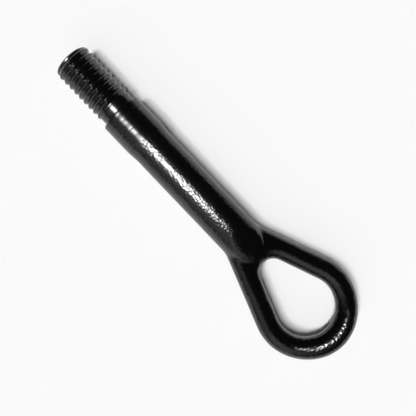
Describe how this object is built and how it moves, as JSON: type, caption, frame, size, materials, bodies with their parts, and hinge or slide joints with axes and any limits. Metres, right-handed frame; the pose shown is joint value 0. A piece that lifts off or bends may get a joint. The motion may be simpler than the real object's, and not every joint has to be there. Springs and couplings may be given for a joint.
{
  "type": "tow eye",
  "caption": "Screw-in tow eye: a threaded end, a turned collar and a round shank that forks into a closed teardrop loop of round bar.",
  "frame": {"origin": "on the shank's axis at the face of the shoulder", "axes": "+X along the axis towards the thread's tip, Z normal to the plane of the eye, Y across the eye"},
  "size_m": [0.1758, 0.047, 0.02],
  "materials": {
    "black_coated_steel": "gloss black coating over forged and turned steel"
  },
  "bodies": {
    "root": {"tow_eye": "black_coated_steel"}
  },
  "joints": []
}
